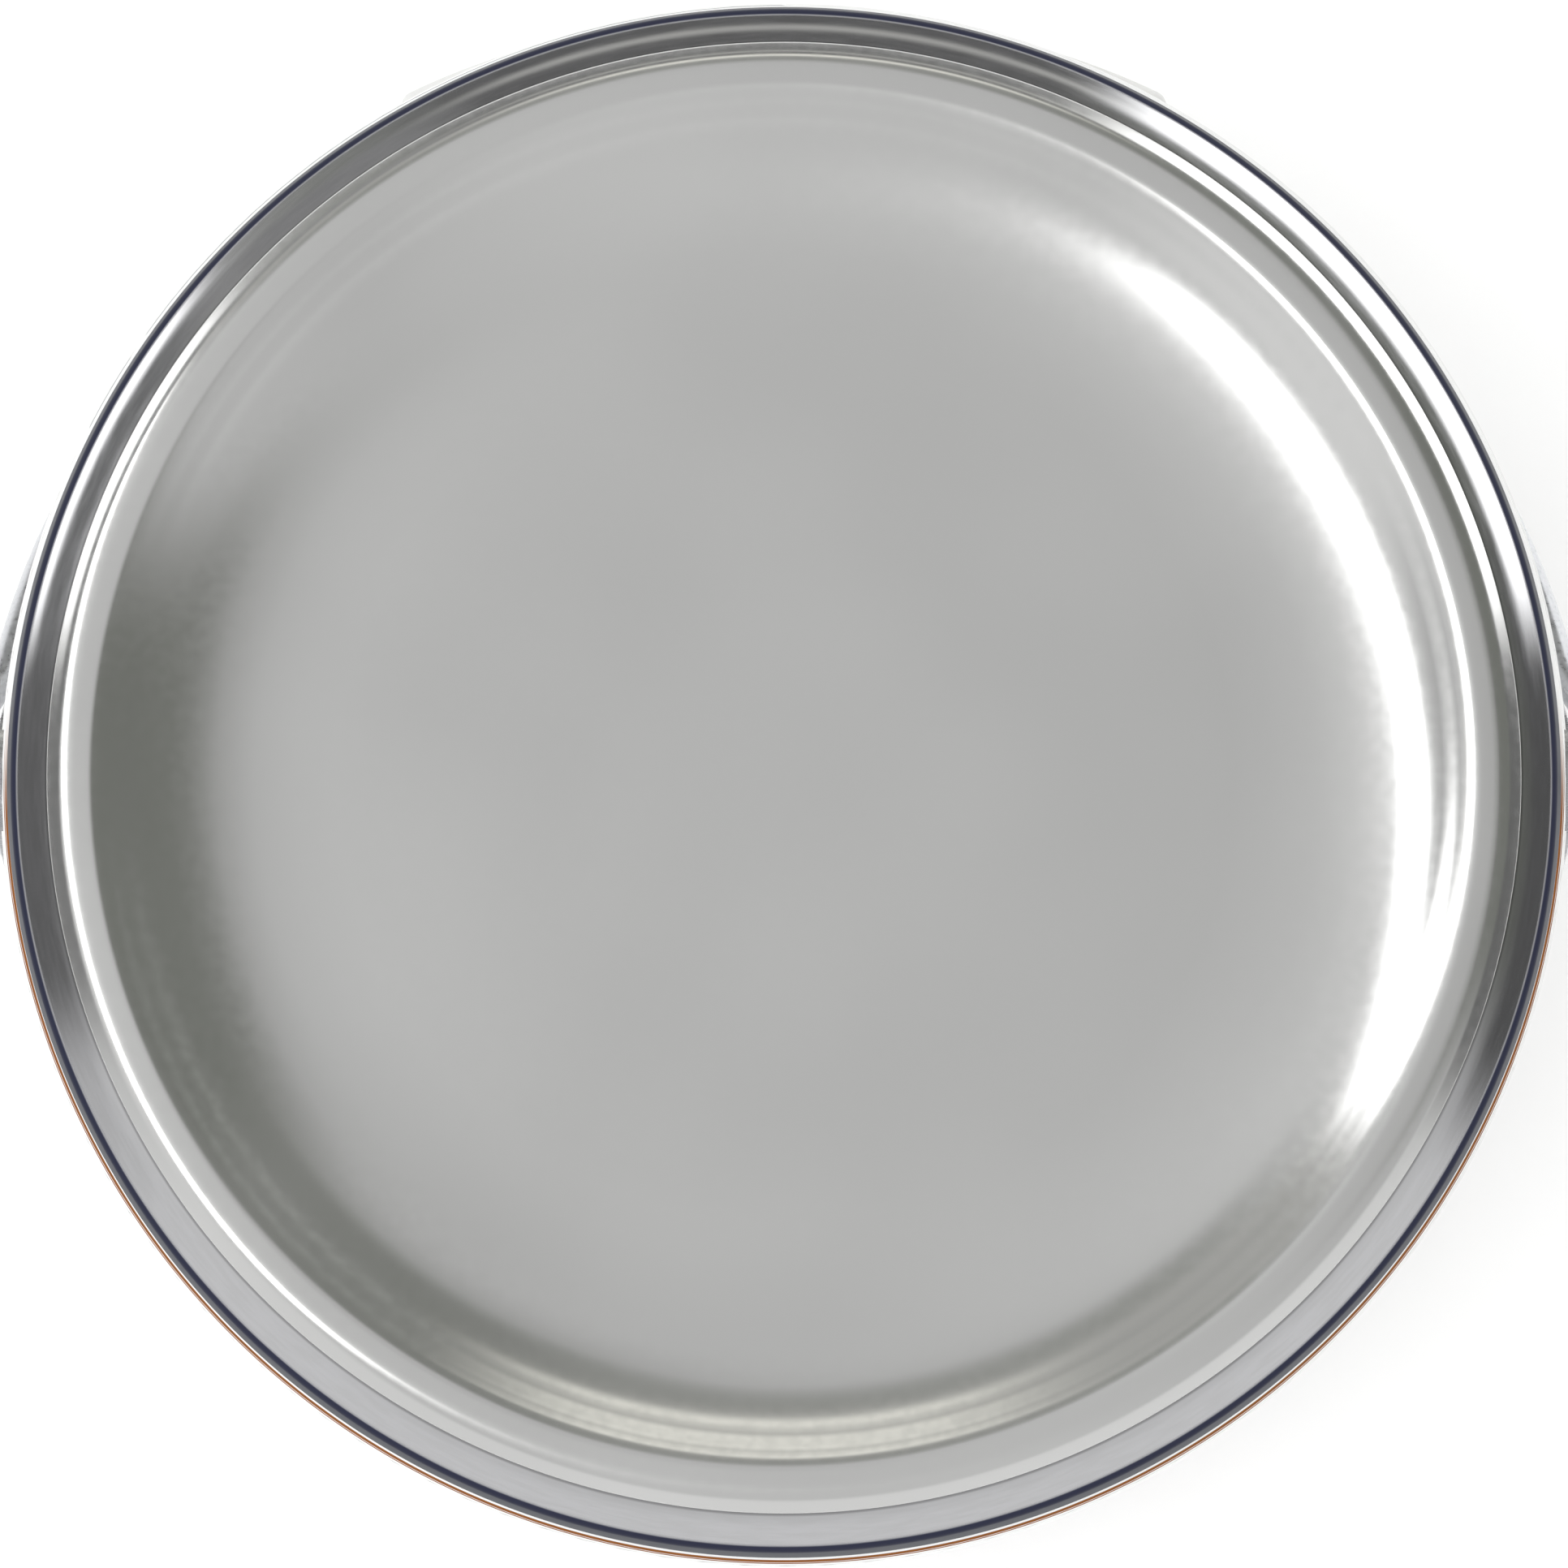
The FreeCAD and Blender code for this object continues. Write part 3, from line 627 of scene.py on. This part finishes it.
# Patches of the surroundings, painted one over the other. Each has a compass angle and half
# width with its softness, the angles from straight up where it starts and ends with their
# softness (all in degrees), and its brightness or colour.
PATCHES = (
    (200, 46, 20, 11, 8, 40, 12, (0.66, 0.66, 0.66)),
    (214, 20, 10, 50, 6, 67, 3, (0.66, 0.66, 0.66)),
    (14, 31, 10, 12.5, 12, 100, 5, (0.145, 0.15, 0.135)),
    (60, 20, 10, 29, 10, 100, 5, (0.185, 0.19, 0.175)),
    (102, 34, 12, 33, 9, 100, 5, (0.26, 0.265, 0.25)),
    (112, 34, 12, 51, 5, 70, 5, (0.36, 0.36, 0.345)),
    (88, 20, 9, 55, 3.5, 64, 2.5, (0.90, 0.89, 0.82)),
    (272, 64, 9, 62, 6, 100, 5, (0.70, 0.70, 0.70)),
    (0, 22, 6, 68, 5, 100, 5, (0.10, 0.10, 0.10)),
    (92, 26, 7, 66.5, 2, 100, 5, (0.13, 0.13, 0.13)),
    (126, 10, 5, 66, 3, 78, 3, (0.26, 0.26, 0.26)),
    (88, 26, 8, 76, 2, 80, 2, (0.55, 0.55, 0.52)),
    (152, 14, 5, 66, 3, 100, 5, (0.19, 0.19, 0.19)),
    (180, 16, 5, 62, 4, 100, 5, (0.14, 0.14, 0.14)),
    (40, 23, 6, 74, 3.5, 92, 2, (2.6, 2.6, 2.6)),
    (152, 13, 5, 80.5, 2.5, 92, 2, (2.2, 2.2, 2.2)),
)

# Long soft box overhead, in directions divided by their height, which is at least LEAST_HEIGHT:
# the way across it, where its width starts and ends along that way, where its length starts and
# ends, and its two layers with their softness and brightness
LEAST_HEIGHT = 0.02
BOX_ACROSS = (0.719, 0.695)
BOX_WIDTH = (-0.80, -0.36)
BOX_LENGTH = (-0.02, 1.9)
BOX_LAYERS = ((0.22, (0.95, 0.95, 0.95)), (0.06, (3.0, 3.0, 3.0)))

# Even grey behind them: the way in which it gets lighter, where along it, and from what to what
GREY_WAY = (-0.7, -0.45)
GREY_SPAN = (-0.10, 0.12)
GREY_LEVELS = (0.485, 0.54)


def box_place(nodes, x, y, z):
    """Places across and along the overhead box that a direction points at."""
    height = nodes.math("MAXIMUM", z, LEAST_HEIGHT)
    flat_x = nodes.math("DIVIDE", x, height)
    flat_y = nodes.math("DIVIDE", y, height)
    way_x, way_y = BOX_ACROSS
    across = nodes.math("ADD", nodes.math("MULTIPLY", flat_x, way_x), nodes.math("MULTIPLY", flat_y, way_y))
    along_y = nodes.math("MULTIPLY", flat_y, way_x)
    return across, nodes.math("SUBTRACT", along_y, nodes.math("MULTIPLY", flat_x, way_y))


def patch_mask(nodes, tilt, compass, patch):
    """One inside a patch of the surroundings, fading over its softness."""
    middle, half, side_soft, low, low_soft, high, high_soft = patch
    shifted = nodes.math("ADD", compass, 360 + 180 - middle)
    turned = nodes.math("SUBTRACT", nodes.math("MODULO", shifted, 360), 180)
    sides = nodes.ramp(nodes.math("ABSOLUTE", turned), half - side_soft, half + side_soft, 1.0, 0.0)
    rise = nodes.ramp(tilt, low - low_soft, low + low_soft)
    fall = nodes.ramp(tilt, high - high_soft, high + high_soft, 1.0, 0.0)
    return nodes.math("MULTIPLY", sides, nodes.math("MULTIPLY", rise, fall))


def make_world():
    """Studio surroundings: even grey overhead, a long soft box, and lower light and dark patches."""
    world = bpy.data.worlds.new("studio")
    bpy.context.scene.world = world
    world.use_nodes = True
    nodes = Nodes(world.node_tree)
    output = nodes.add("ShaderNodeOutputWorld")
    background = nodes.add("ShaderNodeBackground")
    nodes.link(background.outputs[0], output.inputs[0])
    split = nodes.add("ShaderNodeSeparateXYZ")
    nodes.link(nodes.add("ShaderNodeTexCoord").outputs["Generated"], split.inputs[0])
    x, y, z = split.outputs
    tilt = nodes.math("MULTIPLY", nodes.math("ARCCOSINE", z), 180 / math.pi)
    compass = nodes.math("MULTIPLY", nodes.math("ARCTAN2", y, x), 180 / math.pi)
    grey_x, grey_y = GREY_WAY
    slope = nodes.math("ADD", nodes.math("MULTIPLY", x, grey_x), nodes.math("MULTIPLY", y, grey_y))
    grey = nodes.ramp(slope, *GREY_SPAN, *GREY_LEVELS)
    joined = nodes.add("ShaderNodeCombineColor")
    for index in range(3):
        nodes.link(grey, joined.inputs[index])
    colour = joined.outputs[0]
    for *patch, tint in PATCHES:
        colour = nodes.mix(patch_mask(nodes, tilt, compass, patch), colour, tint)
    across, along = box_place(nodes, x, y, z)
    for soft, light in BOX_LAYERS:
        width = nodes.band(across, *BOX_WIDTH, soft)
        length = nodes.band(along, *BOX_LENGTH, soft)
        colour = nodes.mix(nodes.math("MULTIPLY", width, length), colour, light)
    nodes.link(colour, background.inputs[0])


def make_fill_light():
    """Wide light that whitens the floor and the label and leaves no shape in the metal."""
    data = bpy.data.lights.new("fill", "AREA")
    data.shape = "DISK"
    data.size = FILL_WIDTH
    data.energy = FILL_POWER
    fill = bpy.data.objects.new("fill", data)
    bpy.context.scene.collection.objects.link(fill)
    fill.location = (0, 0, FILL_HEIGHT)
    fill.visible_glossy = False
    fill.visible_camera = False


def set_film():
    """Plain display of colours, so that the lit floor is white."""
    bpy.context.scene.view_settings.view_transform = "Standard"


def make_camera():
    """Camera nearly straight above, leaning a little to the front."""
    data = bpy.data.cameras.new("camera")
    camera = bpy.data.objects.new("camera", data)
    bpy.context.scene.collection.objects.link(camera)
    view = Vector((0, -math.cos(CAMERA_ELEVATION), math.sin(CAMERA_ELEVATION)))
    camera.location = CAMERA_TARGET + view * CAMERA_DISTANCE
    camera.rotation_euler = (-view).to_track_quat("-Z", "Y").to_euler()
    half_frame = RING_RADIUS * MM * FRAME_OVER_RING
    data.sensor_width = SENSOR_WIDTH
    data.lens = SENSOR_WIDTH / 2 * CAMERA_DISTANCE / half_frame
    data.clip_start = 0.01
    bpy.context.scene.camera = camera


make_lid()
make_ring()
finish_nodes()
make_floor()
make_world()
make_fill_light()
set_film()
make_camera()
